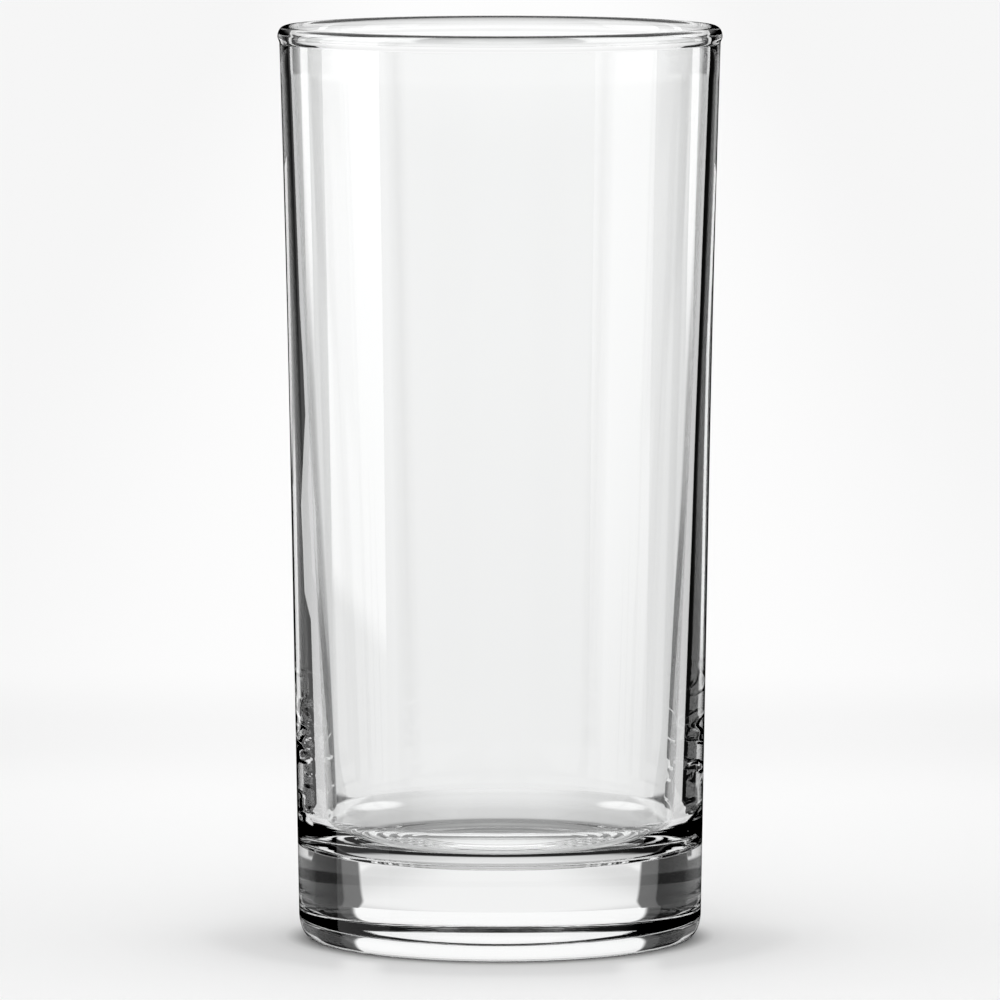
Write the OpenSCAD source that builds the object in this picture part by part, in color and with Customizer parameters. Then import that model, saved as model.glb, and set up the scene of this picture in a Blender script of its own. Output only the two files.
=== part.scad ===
// Clear highball glass: a tall tumbler with a slight taper, on a thick solid base.
// Every zone is a solid of revolution about Z, and the glass stands on z = 0.

/* [Overall] */
// Height from the table to the top of the rim
glass_h = 150; // [120:1:180]
// Outer diameter of the wall just under the rim bead
rim_d = 72.2; // [66:0.1:80]
// Outer diameter of the base just above the rounded heel
base_d = 66.3; // [60:0.1:72]

/* [Side wall] */
// Wall thickness just under the rim bead
wall_top_t = 2; // [1.4:0.1:3]
// Wall thickness low down, at the gauge height
wall_low_t = 4.4; // [3:0.1:6]
// Height at which the low wall thickness is gauged
wall_gauge_h = 32; // [28:1:60]
// Height at which the wall begins to flare outwards
flare_start_h = 75; // [45:1:110]
// Extra radius that the flare has gained at the rim bead
flare_out = 0.48; // [0:0.02:1.5]

/* [Rim bead] */
// Height of the fire-polished bead
bead_h = 2.8; // [2:0.1:4]
// How far the bead stands proud of the wall on the outside
bead_out = 0.32; // [0.1:0.02:0.8]
// How far the bead stands proud of the wall on the inside
bead_in = 0.25; // [0.1:0.05:0.8]

/* [Base] */
// Thickness of the glass under the middle of the inside floor
sham_h = 13.5; // [9:0.5:20]
// Radius of the curve between the inside floor and the wall
floor_curve_r = 7; // [4:0.5:12]
// Slope of the dished floor, in degrees, where its curve begins
floor_edge_angle = 4; // [1:0.5:10]
// Height of the rounded heel
heel_h = 4.1; // [2:0.1:6]
// How far the heel draws in before it touches the table
heel_in = 2; // [1:0.1:4]
// Width of the ring that touches the table
bearing_w = 3; // [2:0.1:5]
// Rise of the push-up under the middle of the base
push_up_h = 0.9; // [0.4:0.1:2]

/* [Hidden] */
$fn = 128;

// Clear glass with a faint cool tint
glass_tint = [0.88, 0.93, 0.94, 0.4];

// Part of the bead's height that its round crown takes up
crown_share = 0.59;

// Straight bands in each curve of the outline
flare_bands = 12;
crown_bands = 20;
blend_bands = 6;
heel_bands = 14;
floor_bands = 8;
curve_bands = 16;
push_up_bands = 8;

// Outside of the wall: a straight taper, and above flare_start_h a parabolic flare
rim_r = rim_d / 2;
base_r = base_d / 2;
bead_z = glass_h - bead_h;
taper_slope = (rim_r - flare_out - base_r) / (bead_z - heel_h);
function flare_at(z) = flare_out * pow(max(0, (z - flare_start_h) / (bead_z - flare_start_h)), 2);
function outer_r(z) = base_r + taper_slope * (z - heel_h) + flare_at(z);

// Inside of the wall: a straight cone through the two gauged thicknesses
inner_top_r = rim_r - wall_top_t;
inner_gauge_r = outer_r(wall_gauge_h) - wall_low_t;
inner_slope = (inner_top_r - inner_gauge_r) / (bead_z - wall_gauge_h);
inner_angle = atan(inner_slope);
function inner_r(z) = inner_top_r + inner_slope * (z - bead_z);

// Inside floor: a shallow dish, then an arc that is tangent to the dish and to the wall
dish_rise_slope = tan(floor_edge_angle / 2);
curve_lift = sin(floor_edge_angle) * dish_rise_slope + cos(floor_edge_angle) - sin(inner_angle);
curve_reach = inner_r(sham_h + floor_curve_r * curve_lift) - floor_curve_r * cos(inner_angle);
curve_centre_r = curve_reach / (1 - dish_rise_slope * inner_slope);
floor_edge_r = curve_centre_r + floor_curve_r * sin(floor_edge_angle);
curve_centre_z = sham_h + floor_edge_r * dish_rise_slope + floor_curve_r * cos(floor_edge_angle);
dish_r = floor_edge_r / sin(floor_edge_angle);

// The wall is parted from the base where the floor's curve runs into it
wall_foot_z = curve_centre_z - floor_curve_r * sin(inner_angle);

// Underside: the flat ring, and a shallow spherical push-up inside it
bearing_outer_r = base_r - heel_in;
bearing_inner_r = bearing_outer_r - bearing_w;
push_up_r = (pow(bearing_inner_r, 2) + pow(push_up_h, 2)) / (2 * push_up_h);
push_up_angle = asin(bearing_inner_r / push_up_r);

// Rim bead: a round crown on two smooth necks that run into the wall
crown_h = bead_h * crown_share;
crown_z = glass_h - crown_h;
crown_outer_r = rim_r + bead_out;
crown_inner_r = inner_top_r - bead_in;
crown_mid_r = (crown_outer_r + crown_inner_r) / 2;
crown_half_w = (crown_outer_r - crown_inner_r) / 2;

// Points along part of an ellipse, from angle a0 to angle a1
function arc(centre_r, centre_z, half_w, half_h, a0, a1, bands) =
    [for (i = [0 : bands])
        let (a = a0 + (a1 - a0) * i / bands)
        [centre_r + half_w * cos(a), centre_z + half_h * sin(a)]];

// Points up a neck that swells smoothly from r0 at the bead's foot to r1 at its crown
function neck(r0, r1) =
    [for (i = [0 : blend_bands])
        let (s = i / blend_bands)
        [r0 + (r1 - r0) * (1 - cos(180 * s)) / 2, bead_z + (crown_z - bead_z) * s]];

function reversed(points) = [for (i = [len(points) - 1 : -1 : 0]) points[i]];

push_up_points = arc(0, push_up_h - push_up_r, push_up_r, push_up_r, 90, 90 - push_up_angle, push_up_bands);
heel_points = arc(bearing_outer_r, heel_h, heel_in, heel_h, -90, 0, heel_bands);
curve_points = arc(curve_centre_r, curve_centre_z, floor_curve_r, floor_curve_r,
    -inner_angle, floor_edge_angle - 90, curve_bands);
dish_points = arc(0, sham_h + dish_r, dish_r, dish_r, floor_edge_angle - 90, -90, floor_bands);
flare_points =
    [for (i = [0 : flare_bands])
        let (z = flare_start_h + (bead_z - flare_start_h) * i / flare_bands)
        [outer_r(z), z]];
crown_points = arc(crown_mid_r, crown_z, crown_half_w, crown_h, 0, 180, crown_bands);

function without_first(points) = [for (i = [1 : len(points) - 1]) points[i]];
function without_ends(points) = [for (i = [1 : len(points) - 2]) points[i]];

// Thick solid foot: push-up, bearing ring, heel, outer wall up to its joint, and the dished inside floor
module heavy_base() {
    color(glass_tint)
    rotate_extrude()
    polygon(concat(
        push_up_points,
        heel_points,
        [[outer_r(wall_foot_z), wall_foot_z]],
        curve_points,
        without_first(dish_points)));
}

// Tapered tube, thicker towards the base, with the gentle flare in its upper half
module side_wall() {
    color(glass_tint)
    rotate_extrude()
    polygon(concat(
        [[inner_r(wall_foot_z), wall_foot_z], [outer_r(wall_foot_z), wall_foot_z]],
        flare_points,
        [[inner_top_r, bead_z]]));
}

// Fire-polished lip, a little thicker than the wall that it closes
module rim_bead() {
    color(glass_tint)
    rotate_extrude()
    polygon(concat(
        neck(rim_r, crown_outer_r),
        without_ends(crown_points),
        reversed(neck(inner_top_r, crown_inner_r))));
}

heavy_base();
side_wall();
rim_bead();
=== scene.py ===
import math

import bpy
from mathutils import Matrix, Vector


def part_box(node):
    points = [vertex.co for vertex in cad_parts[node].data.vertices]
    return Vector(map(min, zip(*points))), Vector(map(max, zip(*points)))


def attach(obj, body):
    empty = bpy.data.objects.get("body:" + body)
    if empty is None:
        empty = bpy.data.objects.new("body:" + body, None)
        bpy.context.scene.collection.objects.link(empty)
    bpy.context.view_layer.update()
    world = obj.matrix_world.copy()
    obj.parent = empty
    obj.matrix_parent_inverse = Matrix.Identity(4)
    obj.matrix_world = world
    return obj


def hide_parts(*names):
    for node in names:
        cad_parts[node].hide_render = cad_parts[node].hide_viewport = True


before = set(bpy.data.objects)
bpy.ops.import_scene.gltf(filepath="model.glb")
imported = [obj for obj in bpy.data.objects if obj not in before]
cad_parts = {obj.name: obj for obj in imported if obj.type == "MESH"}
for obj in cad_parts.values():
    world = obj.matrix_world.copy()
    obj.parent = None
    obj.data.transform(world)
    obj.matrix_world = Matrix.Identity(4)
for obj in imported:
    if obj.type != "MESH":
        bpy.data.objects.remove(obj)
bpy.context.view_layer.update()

# Camera
# A long lens, far off and a little above the rim, aimed just below the middle of the glass.
# From there the rim is a thin ellipse and the base a deeper one.
camera_distance = 1.588
camera_height = 0.2262
aim_height = 0.07204
sensor_width = 36.0
lens_length = 349.4

scene = bpy.context.scene
scene.view_settings.view_transform = "Standard"
camera_data = bpy.data.cameras.new("camera")
camera_data.sensor_width = sensor_width
camera_data.lens = lens_length
camera = bpy.data.objects.new("camera", camera_data)
camera.location = (0.0, -camera_distance, camera_height)
camera_tilt = math.atan2(camera_height - aim_height, camera_distance)
camera.rotation_euler = (math.pi / 2 - camera_tilt, 0.0, 0.0)
scene.collection.objects.link(camera)
scene.camera = camera

# Table
# A wide flat sheet of matt white card, on which the glass stands. Its shadow is painted shade in its colour,
# in front and close by, as if light came from behind the glass. Through the glass the sheet glows with a
# painted sheen: it is darker from steeply above and brighter at a low angle, where the studio shows in it.
mm = 0.001
table_radius = 8.0
table_corners = 96
table_drop = 0.02 * mm
table_white = 0.985

# The painted shadow's depth by distance from the axis, in millimetres. It is faint behind the glass, and in
# front it has two painted bright lanes, for the light that the base gathers.
shadow_reach = 100
painted_shadow_depths = [
    (31, 0.72), (33, 0.55), (34.5, 0.32), (35.5, 0.20), (38, 0.15), (45, 0.13), (50, 0.06), (56, 0.03),
    (65, 0.01), (90, 0.0)]
shadow_edges = (-10 * mm, 25 * mm)
shadow_behind = 0.1
lane_x = 22.5 * mm
lane_edges = (0.8 * mm, 5.0 * mm)
painted_lane_light = 0.95
lane_starts = (35 * mm, 41 * mm)

# Painted shade: the sheet is a little darker far out at the sides and along a band behind the glass.
side_edges = (40 * mm, 140 * mm)
side_white = 0.935
band_y = 280 * mm
band_edges = (10 * mm, 110 * mm)
band_white = 0.955


def flat_mesh(name, points, faces):
    """A mesh object from corner points and faces, linked into the scene."""
    mesh = bpy.data.meshes.new(name)
    mesh.from_pydata(points, [], faces)
    card = bpy.data.objects.new(name, mesh)
    scene.collection.objects.link(card)
    return card


def new_material(name):
    """An empty node material: itself, its tree and its output node."""
    material = bpy.data.materials.new(name)
    material.use_nodes = True
    material.node_tree.nodes.clear()
    output = material.node_tree.nodes.new("ShaderNodeOutputMaterial")
    return material, material.node_tree, output


def object_place(tree):
    """Where a point lies on its object: the whole vector, and its X, Y and Z."""
    place = tree.nodes.new("ShaderNodeTexCoord").outputs["Object"]
    spot = tree.nodes.new("ShaderNodeSeparateXYZ")
    tree.links.new(place, spot.inputs["Vector"])
    return place, spot.outputs


def sums(tree, operation, first, second=0.0):
    """A Math node on one or two sockets or numbers."""
    node = tree.nodes.new("ShaderNodeMath")
    node.operation = operation
    for socket, value in zip(node.inputs, (first, second)):
        if isinstance(value, (int, float)):
            socket.default_value = value
        else:
            tree.links.new(value, socket)
    return node.outputs["Value"]


def product(tree, first, *others):
    """Sockets or numbers multiplied together."""
    result = first
    for other in others:
        result = sums(tree, "MULTIPLY", result, other)
    return result


def between(tree, share, first, second):
    """The value that lies this share of the way from the first to the second."""
    step = sums(tree, "SUBTRACT", second, first)
    return sums(tree, "ADD", first, product(tree, share, step))


def ramp(tree, socket, edges, first, last):
    """A smooth change from the first value to the last as a socket goes from one edge to the other."""
    node = tree.nodes.new("ShaderNodeMapRange")
    node.interpolation_type = "SMOOTHSTEP"
    node.inputs["From Min"].default_value = edges[0]
    node.inputs["From Max"].default_value = edges[1]
    node.inputs["To Min"].default_value = first
    node.inputs["To Max"].default_value = last
    tree.links.new(socket, node.inputs["Value"])
    return node.outputs["Result"]


def stops(tree, socket, reach, points):
    """A value that changes along a socket, through points of (place, value), straight between them."""
    share = sums(tree, "DIVIDE", socket, reach)
    node = tree.nodes.new("ShaderNodeValToRGB")
    tree.links.new(share, node.inputs["Fac"])
    marks = node.color_ramp.elements
    while len(marks) < len(points):
        marks.new(1.0)
    for mark, (place, value) in zip(marks, points):
        mark.position = place / reach
        mark.color = (value, value, value, 1.0)
    return node.outputs["Color"]


def length_stops(tree, socket, reach, points):
    """Stops along a length, with their places in millimetres."""
    lengths = [(place * mm, value) for place, value in points]
    return stops(tree, socket, reach * mm, lengths)


def degree_stops(tree, socket, reach, points):
    """Stops along an angle, with their places in degrees."""
    turns = [(math.radians(place), value) for place, value in points]
    return stops(tree, socket, math.radians(reach), turns)


def bearing_from(tree, spot, x, y):
    """The compass angle of a spot as seen from a point beside the axis, the same on both sides."""
    aside = sums(tree, "SUBTRACT", sums(tree, "ABSOLUTE", spot["X"]), x * mm)
    return sums(tree, "ARCTAN2", aside, sums(tree, "SUBTRACT", spot["Y"], y * mm))


def mixed(tree, share, first, second):
    """A mix of two shaders by a socket."""
    node = tree.nodes.new("ShaderNodeMixShader")
    tree.links.new(share, node.inputs["Fac"])
    tree.links.new(first, node.inputs[1])
    tree.links.new(second, node.inputs[2])
    return node.outputs["Shader"]


table_turns = [2 * math.pi * i / table_corners for i in range(table_corners)]
table = flat_mesh(
    "table",
    [(table_radius * math.cos(turn), table_radius * math.sin(turn), -table_drop) for turn in table_turns],
    [range(table_corners)])
table.visible_glossy = False
table_material, tree, output = new_material("white sheet with painted shade")
place, spot = object_place(tree)
reach = tree.nodes.new("ShaderNodeVectorMath")
reach.operation = "LENGTH"
tree.links.new(place, reach.inputs[0])
reach = reach.outputs["Value"]
aside = sums(tree, "ABSOLUTE", spot["X"])

# Seen straight on: white, with the painted shadow and its painted lanes of light, and painted shade at the
# sides and along the band.
painted_shadow = length_stops(tree, reach, shadow_reach, painted_shadow_depths)
painted_shadow = product(tree, painted_shadow, ramp(tree, spot["Y"], shadow_edges, 1.0, shadow_behind))
lane_offset = sums(tree, "ABSOLUTE", sums(tree, "SUBTRACT", aside, lane_x))
painted_lane = ramp(tree, lane_offset, lane_edges, painted_lane_light, 0.0)
painted_lane = product(tree, painted_lane, ramp(tree, reach, lane_starts, 0.0, 1.0))
painted_shadow = product(tree, painted_shadow, sums(tree, "SUBTRACT", 1.0, painted_lane))
contact = sums(tree, "SUBTRACT", 1.0, painted_shadow)
sides = ramp(tree, aside, side_edges, 1.0, side_white)
band_offset = sums(tree, "ABSOLUTE", sums(tree, "SUBTRACT", spot["Y"], band_y))
band = ramp(tree, band_offset, band_edges, band_white, 1.0)
white = tree.nodes.new("ShaderNodeBsdfDiffuse")
tree.links.new(product(tree, contact, sides, band, table_white), white.inputs["Color"])

# Seen through the glass, outside its foot, the sheet glows with a painted sheen by Layer Weight, from steep
# to shallow, close by and further off, evenly bright out at the sides, with a painted glint of light behind
# each side of the glass.
painted_sheen_near = [(0.20, 0.20), (0.305, 0.34), (0.384, 0.60), (0.546, 0.74), (0.66, 0.90), (0.80, 0.94)]
painted_sheen_far = [(0.25, 0.50), (0.384, 0.64), (0.546, 0.74), (0.66, 0.82), (0.80, 0.94)]
sheen_change = (60 * mm, 90 * mm)
aside_edges = (34 * mm, 40 * mm)
aside_light = 0.97
glint_x = 28.5 * mm
glint_y = 66 * mm
glint_half_x = 9 * mm
glint_half_y = 13 * mm
glint_edges = (0.3, 1.1)
painted_glint_light = 0.42
facing = tree.nodes.new("ShaderNodeLayerWeight").outputs["Facing"]
above = stops(tree, facing, 1.0, painted_sheen_near)
above_far = stops(tree, facing, 1.0, painted_sheen_far)
above = between(tree, ramp(tree, reach, sheen_change, 0.0, 1.0), above, above_far)
above = between(tree, ramp(tree, aside, aside_edges, 0.0, 1.0), above, aside_light)
across = sums(tree, "DIVIDE", sums(tree, "SUBTRACT", aside, glint_x), glint_half_x)
along = sums(tree, "DIVIDE", sums(tree, "SUBTRACT", spot["Y"], glint_y), glint_half_y)
painted_glint = sums(tree, "ADD", product(tree, across, across), product(tree, along, along))
above = sums(tree, "ADD", above, ramp(tree, painted_glint, glint_edges, painted_glint_light, 0.0))

# Under the foot a painted light goes by distance from the axis, with a dark ring of painted shadow at the
# heel.
under_reach = 50
painted_under_lights = [
    (4, 0.97), (10, 0.90), (14, 0.55), (20, 0.50), (22.5, 0.58), (24.5, 0.85), (27.4, 0.75), (28.2, 0.01),
    (33.4, 0.01), (33.8, 0.5)]
foot_edges = (33.6 * mm, 34.0 * mm)
middle_edges = (6 * mm, 28 * mm)
middle_light = 0.80
aside_lift = 0.20
under = length_stops(tree, reach, under_reach, painted_under_lights)
blend = between(tree, ramp(tree, reach, foot_edges, 0.0, 1.0), under, above)
# Painted shade: darker from the middle out to the sides of the foot, and as bright again further out.
middle = ramp(tree, aside, middle_edges, 1.0, middle_light)
middle = sums(tree, "ADD", middle, ramp(tree, aside, aside_edges, 0.0, aside_lift))
blend = product(tree, blend, middle)

# At a low angle a painted reflection of a dark flag shows in the sheet as a wedge on each side, by compass
# angle from a point in the base, and beyond it the sheet lets the studio show.
wedge_from = (-7.6, 32.7)
wedge_reach = 100
painted_flag_shades = [(34.6, 0.14), (40.6, 0.12), (41.6, 0.01), (58, 0.01), (62, 0.05), (75, 0.09)]
wedge_edges = (math.radians(33.2), math.radians(34.6))
wedge_step = (math.radians(57), math.radians(62))
wedge_ends = (146 * mm, 112 * mm)
wedge_blur = (-4 * mm, 4 * mm)
wedge_sheen = (0.77, 0.82)
beyond_edges = (112 * mm, 120 * mm)
beyond_sheen = (0.74, 0.79)
wedge_bearing = bearing_from(tree, spot, *wedge_from)
painted_flag_shade = degree_stops(tree, wedge_bearing, wedge_reach, painted_flag_shades)
wedge = ramp(tree, wedge_bearing, wedge_edges, 0.0, 1.0)
past_wedge = sums(tree, "SUBTRACT", reach, ramp(tree, wedge_bearing, wedge_step, *wedge_ends))
wedge = product(tree, wedge, ramp(tree, past_wedge, wedge_blur, 1.0, 0.0))
wedge = product(tree, wedge, ramp(tree, facing, wedge_sheen, 0.0, 1.0))
# The sheet seen through the glass glows with these painted lights and shades, though it is no lamp.
painted_glow = tree.nodes.new("ShaderNodeEmission")
tree.links.new(between(tree, wedge, blend, painted_flag_shade), painted_glow.inputs["Strength"])
clear = tree.nodes.new("ShaderNodeBsdfTransparent")
beyond = ramp(tree, reach, beyond_edges, 0.0, 1.0)
beyond = product(tree, beyond, ramp(tree, facing, beyond_sheen, 0.0, 1.0))
beyond = product(tree, beyond, sums(tree, "SUBTRACT", 1.0, wedge))
through = mixed(tree, beyond, painted_glow.outputs["Emission"], clear.outputs["BSDF"])
path = tree.nodes.new("ShaderNodeLightPath")
seen = mixed(tree, path.outputs["Is Transmission Ray"], white.outputs["BSDF"], through)
tree.links.new(seen, output.inputs["Surface"])
table.data.materials.append(table_material)

# Lights
# Soft white lights round the glass, each a curved upright sheet: a strip behind each side, low lights for
# the edges and a softbox at left and right. They show only in the gloss of the glass. Their reaches from the
# axis and their heights are in metres.
light_steps = 8
light_reaches = (0.75, 0.75)


def glowing_card(name, points, faces, strength):
    """A card as bright as strength(tree, spot) makes it, that lights no table and casts no shadow."""
    card = flat_mesh(name, points, faces)
    material, tree, output = new_material(name)
    spot = object_place(tree)[1]
    glow = tree.nodes.new("ShaderNodeEmission")
    tree.links.new(strength(tree, spot), glow.inputs["Strength"])
    tree.links.new(glow.outputs["Emission"], output.inputs["Surface"])
    card.data.materials.append(material)
    card.visible_camera = False
    card.visible_diffuse = False
    card.visible_shadow = False
    return card


def gloss_light(name, turns, reaches, heights, fade, strengths, lean=0.0):
    """A curved light between two compass angles in degrees, that only the gloss of the glass shows.

    From one height of the fade to the other it goes from its first strength to its second.
    Its top edge stands round by the lean, in degrees.
    """
    def strength(tree, spot):
        return ramp(tree, spot["Z"], fade, *strengths)

    points = []
    for i in range(light_steps + 1):
        reach = reaches[0] + (reaches[1] - reaches[0]) * i / light_steps
        for z, shift in zip(heights, (0.0, lean)):
            turn = math.radians(turns[0] + (turns[1] - turns[0]) * i / light_steps + shift)
            points.append((reach * math.sin(turn), reach * math.cos(turn), z))
    faces = [(2 * i, 2 * i + 2, 2 * i + 3, 2 * i + 1) for i in range(light_steps)]
    card = glowing_card(name, points, faces, strength)
    card.visible_transmission = False


for side in (-1, 1):
    gloss_light(f"strip {side}", turns=(53.3 * side, 61.3 * side), reaches=light_reaches, heights=(0.0, 0.7),
                fade=(0.010, 0.050), strengths=(0.0, 2.2))
gloss_light("right edge light", turns=(23, 30.5), reaches=light_reaches, heights=(-0.06, 0.03),
            fade=(-0.06, -0.03), strengths=(0.0, 1.15))
gloss_light("right top light", turns=(23, 30.5), reaches=light_reaches, heights=(0.03, 0.076),
            fade=(-0.06, -0.03), strengths=(0.0, 1.15), lean=-10)
gloss_light("left edge light", turns=(-13, -22), reaches=light_reaches, heights=(0.0, 0.076),
            fade=(0.0, 0.02), strengths=(0.0, 1.0), lean=-4)
gloss_light("left foot light", turns=(-20, -29), reaches=light_reaches, heights=(-0.06, 0.02),
            fade=(0.0, 0.02), strengths=(1.1, 0.0))
gloss_light("left softbox", turns=(-76, -116.5), reaches=(0.5, 0.385), heights=(-0.5, 0.7),
            fade=(-0.004, 0.006), strengths=(0.5, 2.6))
gloss_light("right softbox", turns=(93, 131), reaches=(0.45, 0.45), heights=(-0.05, 0.7),
            fade=(-0.05, 0.03), strengths=(0.6, 1.5))

# Flags
# Dark louvres close behind each side of the glass, a near card and a wing, that show only through its wall.
# Their thin slats run along X and fall away from the glass, so they are closed to level light from it and
# open to light from above and from the side. Plain numbers are millimetres and degrees.
flag_centre = (34.8, -6.0)
rim_z = 150.0
slat_gap = 0.6
slat_depth = 1.5


def louvre(name, side, y, falls, heights, turns_at, strength):
    """Slats one above another on one side, each between the two compass angles that its height calls for.

    Their fall for each millimetre of depth goes from the first of the falls at the table to the second at
    the rim.
    """
    low, high = heights
    points = []
    faces = []
    for row in range(int((high - low) / slat_gap) + 1):
        z = low + row * slat_gap
        fall = falls[0] + (falls[1] - falls[0]) * z / rim_z
        for depth in (0.0, slat_depth):
            reach = y + depth - flag_centre[1]
            for turn in turns_at(z):
                x = flag_centre[0] + reach * math.tan(math.radians(turn))
                points.append((side * x * mm, (y + depth) * mm, (z - fall * depth) * mm))
        first = 4 * row
        faces.append((first, first + 1, first + 3, first + 2))
    card = glowing_card(name, points, faces, strength)
    card.visible_glossy = False


# The near card: its strength by compass angle, bright at the first edge, then grey, then black, with more
# black low down, and the angle of its last edge by height.
near_y = 34.0
near_falls = (0.75, 0.60)
near_reach = 60
near_shades = {
    1: [(11.5, 0.88), (14.0, 0.50), (15.5, 0.06), (18.0, 0.01), (25.0, 0.003)],
    -1: [(10.0, 0.90), (13.0, 0.45), (16.0, 0.16), (18.5, 0.06), (21.0, 0.003), (28.0, 0.003), (31.0, 0.10)]}
near_edges = {
    1: [(13, 38), (45, 36.7), (57, 35.6), (78, 35.2), (98, 33.8), (134, 33.0), (152, 32.6), (180, 36)],
    -1: [(13, 35.5), (44, 35.5), (50, 25), (57, 24.5), (65, 23), (71, 29), (79, 37), (88, 36), (98, 33.2),
         (152, 32.6), (180, 36)]}
near_low_heights = (28 * mm, 75 * mm)
near_low_turn = math.radians(5.0)


def near_strength(shades):
    """The strength of a near card with these shades."""
    def strength(tree, spot):
        bearing = bearing_from(tree, spot, *flag_centre)
        bearing = sums(tree, "ADD", bearing, ramp(tree, spot["Z"], near_low_heights, near_low_turn, 0.0))
        return degree_stops(tree, bearing, near_reach, shades)
    return strength


def near_turns(start, edges):
    """The near card's first and last compass angle at each height."""
    def turns_at(z):
        for (z0, end0), (z1, end1) in zip(edges, edges[1:]):
            if z <= z1:
                return start, end0 + (end1 - end0) * (z - z0) / (z1 - z0)
        return start, edges[-1][1]
    return turns_at


for side in (-1, 1):
    shades = near_shades[side]
    edges = near_edges[side]
    louvre(f"near card {side}", side, near_y, near_falls, (edges[0][0], edges[-1][0]),
           near_turns(shades[0][0], edges), near_strength(shades))

# The wing: dark grey low down and fading to white at its top, leaning in from its foot to its head.
wing_y = 19.0
wing_falls = (1.15, 1.05)
wing_low_z = 2
wing_foot = (66, 76)
wing_heads = {1: (44, 50), -1: (43, 48)}
wing_fades = {1: (50, 78), -1: (34, 64)}
wing_lights = (0.03, 0.80)


def wing_turns(head, high):
    """The wing's first and last compass angle at each height."""
    def turns_at(z):
        share = (z - wing_low_z) / (high - wing_low_z)
        return [foot + (top - foot) * share for foot, top in zip(wing_foot, head)]
    return turns_at


def wing_strength(fade):
    """The strength of a wing that fades between these two heights."""
    def strength(tree, spot):
        return ramp(tree, spot["Z"], [z * mm for z in fade], *wing_lights)
    return strength


for side in (-1, 1):
    wing_top = wing_fades[side][1]
    louvre(f"wing {side}", side, wing_y, wing_falls, (wing_low_z, wing_top),
           wing_turns(wing_heads[side], wing_top), wing_strength(wing_fades[side]))

# Studio
# A white room far round the table, which lights the sheet evenly. Through the glass it shows as pale walls
# with black flags, narrow below the table's level and wide above it, under a bright ceiling with a dark ring
# near its top. Bands lie by compass angle in degrees, and edges by the rise of a direction, from -1 to 1.
compass_reach = 180
low_wall_bands = [
    (2.5, 0.975), (9, 0.90), (20, 0.86), (32, 0.84), (56, 0.84), (58, 0.10), (64, 0.10), (66, 0.90),
    (114, 0.85), (116, 0.10), (122, 0.10), (124, 0.70)]
low_wall_edges = (-0.19, -0.09)
low_wall_light = 0.92
floor_turn = (-0.5, 0.3)
floor_lights = (0.65, 0.97)
floor_edges = (-0.30, -0.24)
high_wall_bands = [
    (34.4, 1.02), (36, 0.08), (41.2, 0.06), (42.2, 0.01), (57, 0.01), (60, 0.08), (75, 0.12), (79, 0.90),
    (114, 0.85), (116, 0.10), (122, 0.10), (124, 0.70)]
high_wall_edges = (-0.078, -0.062)
ceiling_bands = [
    (0.25, 0.97), (0.70, 0.85), (0.90, 0.95), (0.95, 0.99), (0.974, 0.99), (0.982, 0.16), (0.991, 0.16),
    (0.995, 0.99)]
ceiling_lamp_edges = (0.85, 0.95)
ceiling_lamp_gain = 1.7
ceiling_edges = (0.21, 0.25)
flag_tops = [(33, 0.0), (36, 0.22), (57, 0.22), (60, 0.0)]
gloss_ceiling_edges = (0.15, 0.50)
gloss_front_edges = (-0.5, 0.0)
gloss_front_light = 0.2
studio_white = 1.0

world = bpy.data.worlds.new("studio")
scene.world = world
world.use_nodes = True
tree = world.node_tree
tree.nodes.clear()
output = tree.nodes.new("ShaderNodeOutputWorld")


def background(strength):
    """A white background of fixed strength, or of the strength that a socket gives."""
    node = tree.nodes.new("ShaderNodeBackground")
    node.inputs["Color"].default_value = (1.0, 1.0, 1.0, 1.0)
    if isinstance(strength, float):
        node.inputs["Strength"].default_value = strength
    else:
        tree.links.new(strength, node.inputs["Strength"])
    return node.outputs["Background"]


direction = tree.nodes.new("ShaderNodeTexCoord")
parts = tree.nodes.new("ShaderNodeSeparateXYZ")
tree.links.new(direction.outputs["Generated"], parts.inputs["Vector"])
parts = parts.outputs
rise = parts["Z"]
bearing = sums(tree, "ABSOLUTE", sums(tree, "ARCTAN2", parts["X"], parts["Y"]))
wall = degree_stops(tree, bearing, compass_reach, low_wall_bands)
wall = product(tree, wall, ramp(tree, rise, low_wall_edges, low_wall_light, 1.0))
floor = ramp(tree, parts["Y"], floor_turn, *floor_lights)
wall = between(tree, ramp(tree, rise, floor_edges, 0.0, 1.0), floor, wall)
high_wall = degree_stops(tree, bearing, compass_reach, high_wall_bands)
wall = between(tree, ramp(tree, rise, high_wall_edges, 0.0, 1.0), wall, high_wall)
ceiling = stops(tree, rise, 1.0, ceiling_bands)
ceiling = product(tree, ceiling, ramp(tree, rise, ceiling_lamp_edges, 1.0, ceiling_lamp_gain))
above_flags = sums(tree, "SUBTRACT", rise, degree_stops(tree, bearing, compass_reach, flag_tops))
wall = between(tree, ramp(tree, above_flags, ceiling_edges, 0.0, 1.0), wall, ceiling)
gloss_front = ramp(tree, parts["Y"], gloss_front_edges, gloss_front_light, 0.0)
gloss_ceiling = ramp(tree, rise, gloss_ceiling_edges, 0.0, 1.0)
gloss = mixed(tree, gloss_ceiling, background(gloss_front), background(studio_white))
path = tree.nodes.new("ShaderNodeLightPath")
seen = mixed(tree, path.outputs["Is Glossy Ray"], background(studio_white), gloss)
seen = mixed(tree, path.outputs["Is Transmission Ray"], seen, background(wall))
tree.links.new(seen, output.inputs["Surface"])

# Glass
# One piece of clear soda-lime glass, made in a mould: a thick base, a tapered wall and a fire-polished bead
# at the rim. Its outline is turned about the axis into one closed mesh. Low down the inside wall has the
# faint creases of glass that settled as it cooled, and the floor has faint rings.
wall_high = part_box("side_wall")[1]
bead_low, bead_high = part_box("rim_bead")
glass_h = bead_high[2]
bead_z = bead_low[2]
bead_h = glass_h - bead_z
rim_r = wall_high[0]
crown_outer_r = bead_high[0]

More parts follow.
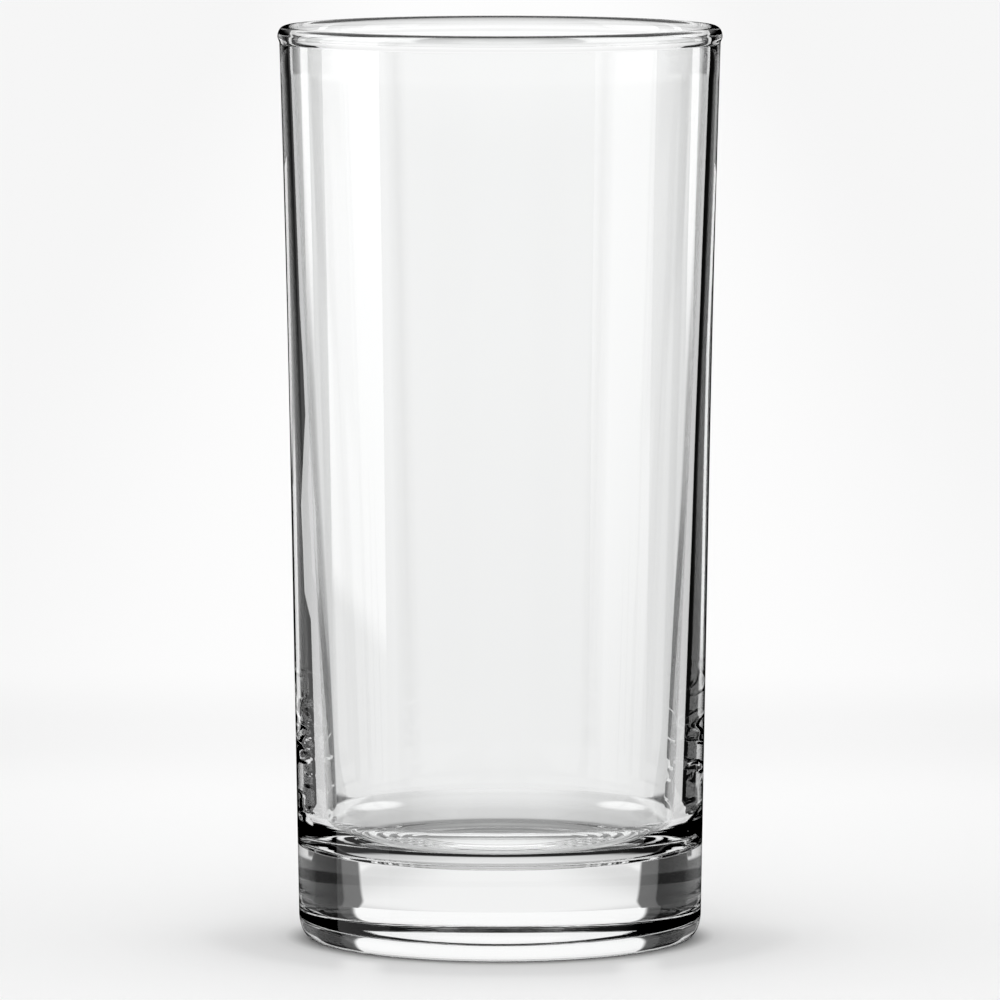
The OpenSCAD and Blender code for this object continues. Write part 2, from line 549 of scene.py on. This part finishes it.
base_r = 33.15 * mm
heel_h = 4.1 * mm
heel_in = 2.0 * mm
bearing_w = 3.0 * mm
push_up_h = 0.9 * mm
wall_top_t = 2.0 * mm
wall_low_t = 4.4 * mm
wall_gauge_h = 32.0 * mm
flare_start_h = 75.0 * mm
flare_out = 0.48 * mm
bead_in = 0.25 * mm
crown_share = 0.59
sham_h = 13.5 * mm
floor_curve_r = 7.0 * mm
floor_edge_angle = math.radians(4.0)

taper_slope = (rim_r - flare_out - base_r) / (bead_z - heel_h)


def outer_r(z):
    """Outside radius of the wall at height z."""
    flare = max(0.0, (z - flare_start_h) / (bead_z - flare_start_h))
    return base_r + taper_slope * (z - heel_h) + flare_out * flare * flare


inner_top_r = rim_r - wall_top_t
inner_slope = (inner_top_r - outer_r(wall_gauge_h) + wall_low_t) / (bead_z - wall_gauge_h)
inner_angle = math.atan(inner_slope)


def inner_r(z):
    """Inside radius of the wall at height z."""
    return inner_top_r + inner_slope * (z - bead_z)


dish_rise = math.tan(floor_edge_angle / 2)
curve_lift = math.sin(floor_edge_angle) * dish_rise + math.cos(floor_edge_angle) - math.sin(inner_angle)
curve_reach = inner_r(sham_h + floor_curve_r * curve_lift) - floor_curve_r * math.cos(inner_angle)
curve_centre_r = curve_reach / (1 - dish_rise * inner_slope)
floor_edge_r = curve_centre_r + floor_curve_r * math.sin(floor_edge_angle)
curve_centre_z = sham_h + floor_edge_r * dish_rise + floor_curve_r * math.cos(floor_edge_angle)
curve_centre = (curve_centre_r, curve_centre_z)
dish_r = floor_edge_r / math.sin(floor_edge_angle)
dish_centre = (0.0, sham_h + dish_r)
wall_foot_z = curve_centre_z - floor_curve_r * math.sin(inner_angle)
bearing_outer_r = base_r - heel_in
bearing_inner_r = bearing_outer_r - bearing_w
push_up_r = (bearing_inner_r ** 2 + push_up_h ** 2) / (2 * push_up_h)
push_up_angle = math.asin(bearing_inner_r / push_up_r)
crown_h = bead_h * crown_share
crown_z = glass_h - crown_h
crown_inner_r = inner_top_r - bead_in
crown_centre = ((crown_outer_r + crown_inner_r) / 2, crown_z)
crown_half_w = (crown_outer_r - crown_inner_r) / 2


def arc(centre, half_w, half_h, start, end, rows):
    """Points along part of an ellipse in the outline's plane."""
    turns = [start + (end - start) * i / rows for i in range(rows + 1)]
    return [(centre[0] + half_w * math.cos(a), centre[1] + half_h * math.sin(a)) for a in turns]


def climb(radius_at, start, end, rows):
    """Points up or down a wall whose radius at each height is given."""
    heights = [start + (end - start) * i / rows for i in range(rows + 1)]
    return [(radius_at(z), z) for z in heights]


def neck(foot_r, crown_r):
    """Radius at each height of a neck that swells smoothly from the wall to the bead's crown."""
    def radius(z):
        share = (z - bead_z) / (crown_z - bead_z)
        return foot_r + (crown_r - foot_r) * (1 - math.cos(math.pi * share)) / 2
    return radius


# Rings in the floor, by distance from the axis.
ring_height = 0.12 * mm
ring_spacing = 2.4 * mm
ring_start = 12 * mm
ring_full = 16 * mm
ring_fade = 25 * mm
ring_end = 28 * mm
ring_angle = math.asin(ring_start / dish_r)


def ringed(points):
    """A stretch of the floor's outline with its faint rings."""
    lifted = []
    for r, z in points:
        share = min(1.0, max(0.0, (r - ring_start) / (ring_full - ring_start)))
        share *= min(1.0, max(0.0, (ring_end - r) / (ring_end - ring_fade)))
        lifted.append((r, z + ring_height * share * math.sin(2 * math.pi * r / ring_spacing)))
    return lifted


# Creases in the inside wall. They begin at one height, are full at a lower one and end on the floor's curve.
crease_top = 50 * mm
crease_full = 28 * mm
crease_floor_r = 24 * mm
crease_height = 0.24 * mm
crease_length = 4.2 * mm
crease_stretch = (0.25, 0.25, 1.0)
crease_detail = 1.0
crease_level = 0.5
crease_edges = (0.0, 0.05)
crease_side_edges = (0.955, 0.985)
crease_front_edges = (0.03, 0.12)

# Rows of mesh in each stretch of the outline, and columns round the axis.
push_up_rows = 8
bearing_rows = 3
heel_rows = 16
wall_rows = 26
neck_rows = 8
crown_rows = 20
inner_rows = 18
crease_rows = 300
curve_rows = 40
ring_rows = 34
floor_rows = 6
segments = 200
same_point = 0.0001 * mm
weld_gap = 0.001 * mm
quarter = math.pi / 2


def joined(*stretches):
    """One run of points, without the doubles where stretches meet."""
    run = []
    for stretch in stretches:
        for point in stretch:
            if not run or math.dist(point, run[-1]) > same_point:
                run.append(point)
    return run


outside = joined(
    arc((0.0, push_up_h - push_up_r), push_up_r, push_up_r, quarter, quarter - push_up_angle, push_up_rows),
    [(bearing_inner_r + bearing_w * i / bearing_rows, 0.0) for i in range(bearing_rows + 1)],
    arc((bearing_outer_r, heel_h), heel_in, heel_h, -quarter, 0.0, heel_rows),
    climb(outer_r, heel_h, bead_z, wall_rows),
    climb(neck(rim_r, crown_outer_r), bead_z, crown_z, neck_rows),
    arc(crown_centre, crown_half_w, crown_h, 0.0, 2 * quarter, crown_rows),
    climb(neck(inner_top_r, crown_inner_r), crown_z, bead_z, neck_rows))
inside = joined(
    climb(inner_r, bead_z, crease_top, inner_rows),
    climb(inner_r, crease_top, wall_foot_z, crease_rows),
    ringed(arc(curve_centre, floor_curve_r, floor_curve_r,
               -inner_angle, floor_edge_angle - quarter, curve_rows)),
    ringed(arc(dish_centre, dish_r, dish_r, floor_edge_angle - quarter, ring_angle - quarter, ring_rows)),
    arc(dish_centre, dish_r, dish_r, ring_angle - quarter, -quarter, floor_rows))
outline = joined(outside, inside)

profile = bpy.data.meshes.new("glass")
profile.from_pydata([(r, 0.0, z) for r, z in outline], [(i, i + 1) for i in range(len(outline) - 1)], [])
settle = profile.attributes.new("settle", "FLOAT", "POINT")
for i, (r, z) in enumerate(outline):
    share = min(1.0, max(0.0, (crease_top - z) / (crease_top - crease_full)))
    creased = i >= len(outside) and r > crease_floor_r
    settle.data[i].value = share * share if creased else 0.0

tree = bpy.data.node_groups.new("turned glass", "GeometryNodeTree")
tree.interface.new_socket("Outline", in_out="INPUT", socket_type="NodeSocketGeometry")
tree.interface.new_socket("Segments", in_out="INPUT", socket_type="NodeSocketInt")
tree.interface.new_socket("Crease Height", in_out="INPUT", socket_type="NodeSocketFloat")
tree.interface.new_socket("Crease Length", in_out="INPUT", socket_type="NodeSocketFloat")
tree.interface.new_socket("Glass", in_out="INPUT", socket_type="NodeSocketMaterial")
tree.interface.new_socket("Turned", in_out="OUTPUT", socket_type="NodeSocketGeometry")
nodes = tree.nodes
links = tree.links
given = nodes.new("NodeGroupInput").outputs
result = nodes.new("NodeGroupOutput")

# A grid with a row for each point of the outline. Half a step keeps the row's number from rounding down.
size = nodes.new("GeometryNodeAttributeDomainSize")
links.new(given["Outline"], size.inputs["Geometry"])
columns = sums(tree, "ADD", given["Segments"], 1)
grid = nodes.new("GeometryNodeMeshGrid")
links.new(size.outputs["Point Count"], grid.inputs["Vertices X"])
links.new(columns, grid.inputs["Vertices Y"])
index = nodes.new("GeometryNodeInputIndex").outputs["Index"]
half_step = 0.5
row = sums(tree, "FLOOR", sums(tree, "DIVIDE", sums(tree, "ADD", index, half_step), columns))
column = sums(tree, "SUBTRACT", index, product(tree, row, columns))
angle = product(tree, sums(tree, "DIVIDE", column, given["Segments"]), 2 * math.pi)
cosine = sums(tree, "COSINE", angle)
sine = sums(tree, "SINE", angle)


def at_row(value, data_type):
    """A value of the outline's points, at this row of the grid."""
    sample = nodes.new("GeometryNodeSampleIndex")
    sample.data_type = data_type
    links.new(given["Outline"], sample.inputs["Geometry"])
    links.new(value, sample.inputs["Value"])
    links.new(row, sample.inputs["Index"])
    return sample.outputs["Value"]


settle_value = nodes.new("GeometryNodeInputNamedAttribute")
settle_value.data_type = "FLOAT"
settle_value.inputs["Name"].default_value = "settle"
settled = at_row(settle_value.outputs["Attribute"], "FLOAT")
parts = nodes.new("ShaderNodeSeparateXYZ")
position = nodes.new("GeometryNodeInputPosition").outputs["Position"]
links.new(at_row(position, "FLOAT_VECTOR"), parts.inputs["Vector"])
parts = parts.outputs


def turned(radius):
    """The point at this radius and angle, at the outline's height."""
    point = nodes.new("ShaderNodeCombineXYZ")
    links.new(product(tree, radius, cosine), point.inputs["X"])
    links.new(product(tree, radius, sine), point.inputs["Y"])
    links.new(parts["Z"], point.inputs["Z"])
    return point.outputs["Vector"]


# Creases run where a stretched noise crosses its middle level, at both sides and in the front half only.
stretched = nodes.new("ShaderNodeVectorMath")
stretched.operation = "MULTIPLY"
stretched.inputs[1].default_value = crease_stretch
links.new(turned(parts["X"]), stretched.inputs[0])
noise = nodes.new("ShaderNodeTexNoise")
noise.inputs["Detail"].default_value = crease_detail
links.new(stretched.outputs["Vector"], noise.inputs["Vector"])
links.new(sums(tree, "DIVIDE", 1.0, given["Crease Length"]), noise.inputs["Scale"])
off_level = sums(tree, "ABSOLUTE", sums(tree, "SUBTRACT", noise.outputs["Fac"], crease_level))
crease = product(
    tree,
    ramp(tree, off_level, crease_edges, 1.0, 0.0),
    given["Crease Height"],
    ramp(tree, sums(tree, "ABSOLUTE", cosine), crease_side_edges, 0.0, 1.0),
    ramp(tree, sine, crease_front_edges, 1.0, 0.0),
    settled)
shape = nodes.new("GeometryNodeSetPosition")
links.new(grid.outputs["Mesh"], shape.inputs["Geometry"])
links.new(turned(sums(tree, "ADD", parts["X"], crease)), shape.inputs["Position"])
weld = nodes.new("GeometryNodeMergeByDistance")
weld.inputs["Distance"].default_value = weld_gap
links.new(shape.outputs["Geometry"], weld.inputs["Geometry"])
outward = nodes.new("GeometryNodeFlipFaces")
links.new(weld.outputs["Geometry"], outward.inputs["Mesh"])
smooth = nodes.new("GeometryNodeSetShadeSmooth")
links.new(outward.outputs["Mesh"], smooth.inputs["Geometry"])
realized = nodes.new("GeometryNodeRealizeInstances")
links.new(smooth.outputs["Geometry"], realized.inputs["Geometry"])
finish = nodes.new("GeometryNodeSetMaterial")
links.new(realized.outputs["Geometry"], finish.inputs["Geometry"])
links.new(given["Glass"], finish.inputs["Material"])
links.new(finish.outputs["Geometry"], result.inputs["Turned"])
turning_tree = tree

# The glass itself is all but colourless, a little greener in the thick base and in the cords of the melt.
clear_tint = (0.991, 0.994, 0.993, 1.0)
deep_tint = (0.984, 0.990, 0.988, 1.0)
tint_heights = (0.0, 30.0 * mm)
tint_share = 0.6
cord_size = 25.0 * mm
cord_detail = 2.0
cord_share = 0.4
clear_glass, tree, output = new_material("clear soda-lime glass")
place, spot = object_place(tree)
cords = tree.nodes.new("ShaderNodeTexNoise")
cords.inputs["Scale"].default_value = 1.0 / cord_size
cords.inputs["Detail"].default_value = cord_detail
tree.links.new(place, cords.inputs["Vector"])
depth = ramp(tree, spot["Z"], tint_heights, tint_share, 0.0)
depth = sums(tree, "ADD", depth, product(tree, cords.outputs["Fac"], cord_share))
tint = tree.nodes.new("ShaderNodeValToRGB")
tint.color_ramp.elements[0].color = clear_tint
tint.color_ramp.elements[1].color = deep_tint
tree.links.new(depth, tint.inputs["Fac"])
glass_shader = tree.nodes.new("ShaderNodeBsdfPrincipled")
tree.links.new(tint.outputs["Color"], glass_shader.inputs["Base Color"])
glass_shader.inputs["Roughness"].default_value = 0.0
glass_shader.inputs["IOR"].default_value = 1.52
glass_shader.inputs["Transmission Weight"].default_value = 1.0
tree.links.new(glass_shader.outputs["BSDF"], output.inputs["Surface"])

outline_object = bpy.data.objects.new("glass outline", profile)
scene.collection.objects.link(outline_object)
turning = outline_object.modifiers.new("turning", "NODES")
turning.node_group = turning_tree
inputs = [item for item in turning_tree.interface.items_tree if item.in_out == "INPUT"]
sockets = {item.name: item.identifier for item in inputs}
turning[sockets["Segments"]] = segments
turning[sockets["Crease Height"]] = crease_height
turning[sockets["Crease Length"]] = crease_length
turning[sockets["Glass"]] = clear_glass
depsgraph = bpy.context.evaluated_depsgraph_get()
glass_mesh = bpy.data.meshes.new_from_object(outline_object.evaluated_get(depsgraph))
bpy.data.objects.remove(outline_object)
glass_mesh.name = "highball_glass"
glass = bpy.data.objects.new("highball_glass", glass_mesh)
scene.collection.objects.link(glass)
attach(glass, "root")
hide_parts("heavy_base", "side_wall", "rim_bead")

# Light passes many faces on its way through the base. A low limit on gloss keeps the wall's edges black.
clear_bounces = 24
gloss_bounces = 4
scene.cycles.max_bounces = clear_bounces
scene.cycles.transmission_bounces = clear_bounces
scene.cycles.glossy_bounces = gloss_bounces
